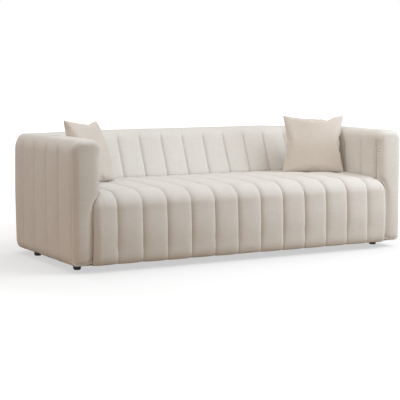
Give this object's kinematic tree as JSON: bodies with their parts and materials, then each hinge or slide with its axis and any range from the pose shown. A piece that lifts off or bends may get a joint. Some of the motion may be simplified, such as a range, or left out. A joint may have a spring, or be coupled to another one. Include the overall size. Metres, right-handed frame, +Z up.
{
  "type": "tuxedo sofa",
  "caption": "Long channel-tufted tuxedo sofa with arms as high as the back, a tight bench seat over a waterfall front, small round feet and loose square pillows.",
  "frame": {"origin": "on the floor under the middle of the sofa", "axes": "+X along the seat to the right as seen from the front, -Y towards the front of the seat, +Z up"},
  "size_m": [2.18, 0.98, 0.8012],
  "materials": {
    "upholstery": "woven cream upholstery cloth",
    "pillow_cloth": "woven warm cream pillow cloth",
    "foam": "upholstery foam",
    "pillow_filling": "fibre filling in a plain white inner bag",
    "timber": "sawn kiln-dried pine",
    "plywood": "birch plywood",
    "webbing": "woven elastic webbing",
    "lining": "black non-woven dust cloth",
    "foot_plastic": "black moulded plastic",
    "bolt_steel": "zinc-plated steel",
    "felt": "pressed felt"
  },
  "bodies": {
    "sofa": {"front_rail": "timber", "rear_rail": "timber", "cross_rail_left": "timber", "cross_rail_center": "timber", "cross_rail_right": "timber", "corner_block_left": "timber", "corner_block_right": "timber", "arm_bottom_rail_left": "timber", "arm_front_post_left": "timber", "arm_rear_post_left": "timber", "arm_top_rail_left": "timber", "arm_side_panel_left": "plywood", "arm_foam_left": "foam", "arm_cover_left": "upholstery", "arm_front_panel_left": "upholstery", "arm_bottom_rail_right": "timber", "arm_front_post_right": "timber", "arm_rear_post_right": "timber", "arm_top_rail_right": "timber", "arm_side_panel_right": "plywood", "arm_foam_right": "foam", "arm_cover_right": "upholstery", "arm_front_panel_right": "upholstery", "back_top_rail": "timber", "back_panel": "plywood", "back_upright_1": "timber", "back_upright_2": "timber", "back_upright_3": "timber", "back_upright_4": "timber", "back_foam": "foam", "back_cover": "upholstery", "seat_strap_1": "webbing", "seat_strap_2": "webbing", "seat_strap_3": "webbing", "seat_strap_4": "webbing", "seat_strap_5": "webbing", "seat_strap_6": "webbing", "seat_foam": "foam", "front_pad": "foam", "seat_cover": "upholstery", "dust_cover": "lining", "foot_front_left": "foot_plastic", "foot_front_right": "foot_plastic", "foot_rear_left": "foot_plastic", "foot_rear_right": "foot_plastic", "foot_center": "foot_plastic", "foot_glide_front_left": "felt", "foot_glide_front_right": "felt", "foot_glide_rear_left": "felt", "foot_glide_rear_right": "felt", "foot_glide_center": "felt", "foot_bolt_front_left": "bolt_steel", "foot_bolt_front_right": "bolt_steel", "foot_bolt_rear_left": "bolt_steel", "foot_bolt_rear_right": "bolt_steel", "foot_bolt_center": "bolt_steel"},
    "pillow_left": {"pillow_cover_left": "pillow_cloth", "pillow_insert_left": "pillow_filling"},
    "pillow_right": {"pillow_cover_right": "pillow_cloth", "pillow_insert_right": "pillow_filling"}
  },
  "joints": [
    {"name": "pillow_left_lift", "type": "slide", "parent": "sofa", "child": "pillow_left", "axis": [0, 0, 1], "range_m": [0, 0.45]},
    {"name": "pillow_right_lift", "type": "slide", "parent": "sofa", "child": "pillow_right", "axis": [0, 0, 1], "range_m": [0, 0.45]}
  ]
}
